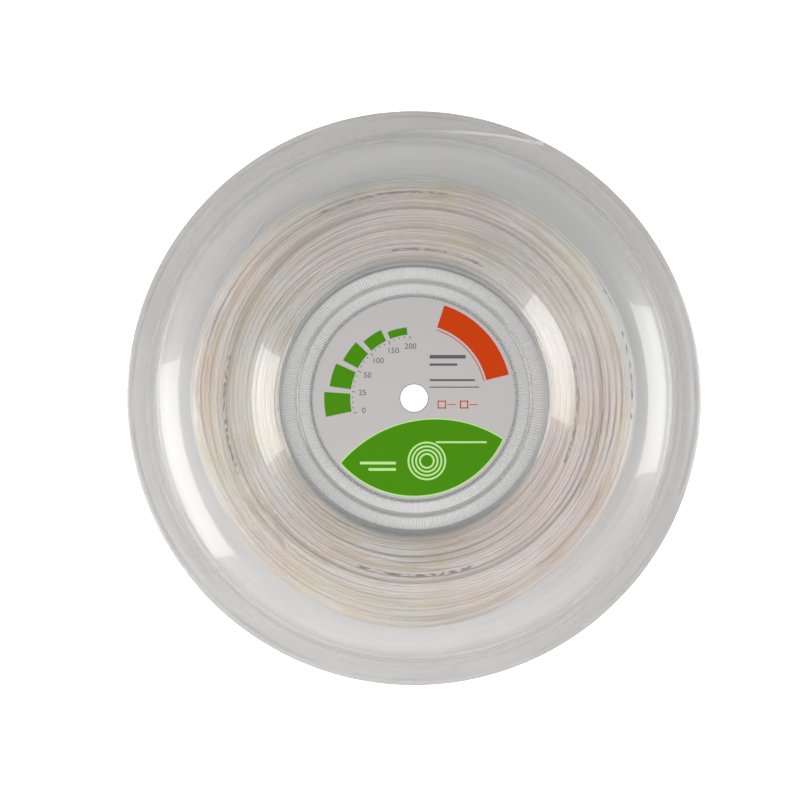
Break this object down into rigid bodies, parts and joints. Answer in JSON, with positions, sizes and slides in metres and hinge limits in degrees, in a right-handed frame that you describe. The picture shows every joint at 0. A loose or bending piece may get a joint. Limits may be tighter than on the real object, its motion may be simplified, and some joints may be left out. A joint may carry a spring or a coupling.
{
  "type": "string reel",
  "caption": "Clear round reel of two formed half shells that holds wound racket string and pays it out between its rim lips.",
  "frame": {"origin": "centre of the bore, on the surface that the reel lies on", "axes": "+Z along the bore axis, out of the labelled front; +X to the right and +Y up as the front is seen"},
  "size_m": [0.27, 0.27, 0.03],
  "materials": {
    "clear_shell": "clear, glossy formed sheet",
    "bond": "clear adhesive",
    "label": "silver-grey coated paper",
    "string": "smooth translucent nylon"
  },
  "bodies": {
    "root": {"front_shell": "clear_shell", "rear_shell": "clear_shell", "hub_bond": "bond", "front_label": "label", "string_core": "string", "string_turns": "string", "string_tail": "string"}
  },
  "joints": []
}
